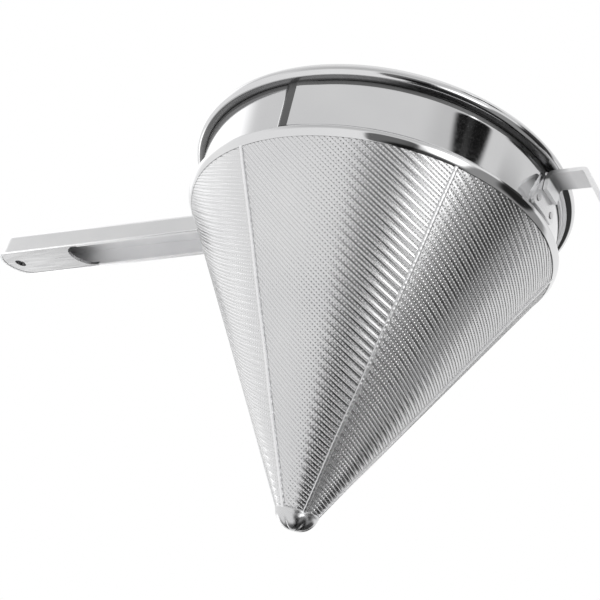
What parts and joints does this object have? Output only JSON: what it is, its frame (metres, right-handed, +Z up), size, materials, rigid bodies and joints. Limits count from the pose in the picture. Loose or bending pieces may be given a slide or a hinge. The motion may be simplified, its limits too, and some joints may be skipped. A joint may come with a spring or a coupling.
{
  "type": "chinois strainer",
  "caption": "Conical mesh strainer with a plain collar and rolled rim, a hollow channel handle with a hanging hole, and a bent hook to rest it across a pot.",
  "frame": {"origin": "centre of the circle on which the rim bead's underside rests on a pot, on the cone's axis", "axes": "+Z up along the cone's axis, out of the mouth; -X along the handle, +X roughly towards the hook"},
  "size_m": [0.4292, 0.212, 0.1867],
  "materials": {
    "polished_steel": "mirror polished stainless steel",
    "mesh_steel": "bright woven stainless wire cloth",
    "seam_steel": "bright ground weld strip",
    "handle_steel": "fine satin stainless steel",
    "wire_steel": "plain drawn wire"
  },
  "bodies": {
    "root": {"collar_band": "polished_steel", "rim_bead": "polished_steel", "rim_wire": "wire_steel", "lip_ring": "polished_steel", "cone_gore_1": "mesh_steel", "cone_gore_2": "mesh_steel", "cone_gore_3": "mesh_steel", "cone_gore_4": "mesh_steel", "cone_gore_5": "mesh_steel", "cone_gore_6": "mesh_steel", "cone_seam_1": "seam_steel", "cone_seam_2": "seam_steel", "cone_seam_3": "seam_steel", "cone_seam_4": "seam_steel", "cone_seam_5": "seam_steel", "cone_seam_6": "seam_steel", "tip_cap": "polished_steel", "handle_channel": "handle_steel", "handle_end_plate": "handle_steel", "handle_root_plate": "polished_steel", "hook_strip": "polished_steel", "hook_root_plate": "polished_steel", "spot_welds": "polished_steel"}
  },
  "joints": []
}
